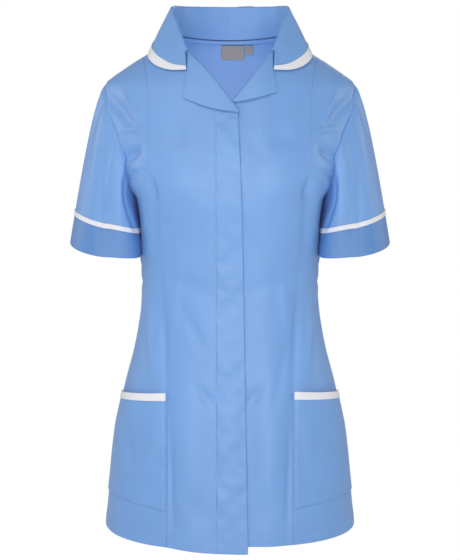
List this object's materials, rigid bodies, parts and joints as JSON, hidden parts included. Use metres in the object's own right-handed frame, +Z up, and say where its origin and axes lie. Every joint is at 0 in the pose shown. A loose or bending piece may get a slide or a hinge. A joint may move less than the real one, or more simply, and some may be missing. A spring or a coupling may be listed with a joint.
{
  "type": "work tunic",
  "caption": "Short-sleeved hip-length work tunic with rounded rever collar, covered front closing, princess seams, hip pockets and white edge bands, filled out as worn.",
  "frame": {"origin": "middle of the neck, level with the points where the shoulder seams meet the collar, where the tunic is held up by its wearer's shoulders", "axes": "+Z up the body, +X to the wearer's left, and the front faces -Y"},
  "size_m": [0.462, 0.2535, 0.7613],
  "materials": {
    "tunic_cloth": "matte",
    "white_band": "matte",
    "label_tape": "satin"
  },
  "bodies": {
    "root": {"front_right": "tunic_cloth", "front_left": "tunic_cloth", "side_front_right": "tunic_cloth", "side_front_left": "tunic_cloth", "back": "tunic_cloth", "sleeve_right": "tunic_cloth", "sleeve_left": "tunic_cloth", "cuff_right": "tunic_cloth", "cuff_left": "tunic_cloth", "sleeve_band_right": "white_band", "sleeve_band_left": "white_band", "collar": "tunic_cloth", "collar_band": "white_band", "lapel_right": "tunic_cloth", "lapel_left": "tunic_cloth", "pocket_right": "tunic_cloth", "pocket_left": "tunic_cloth", "pocket_band_right": "white_band", "pocket_band_left": "white_band", "neck_tape": "tunic_cloth", "label": "label_tape", "size_tab": "label_tape"}
  },
  "joints": []
}
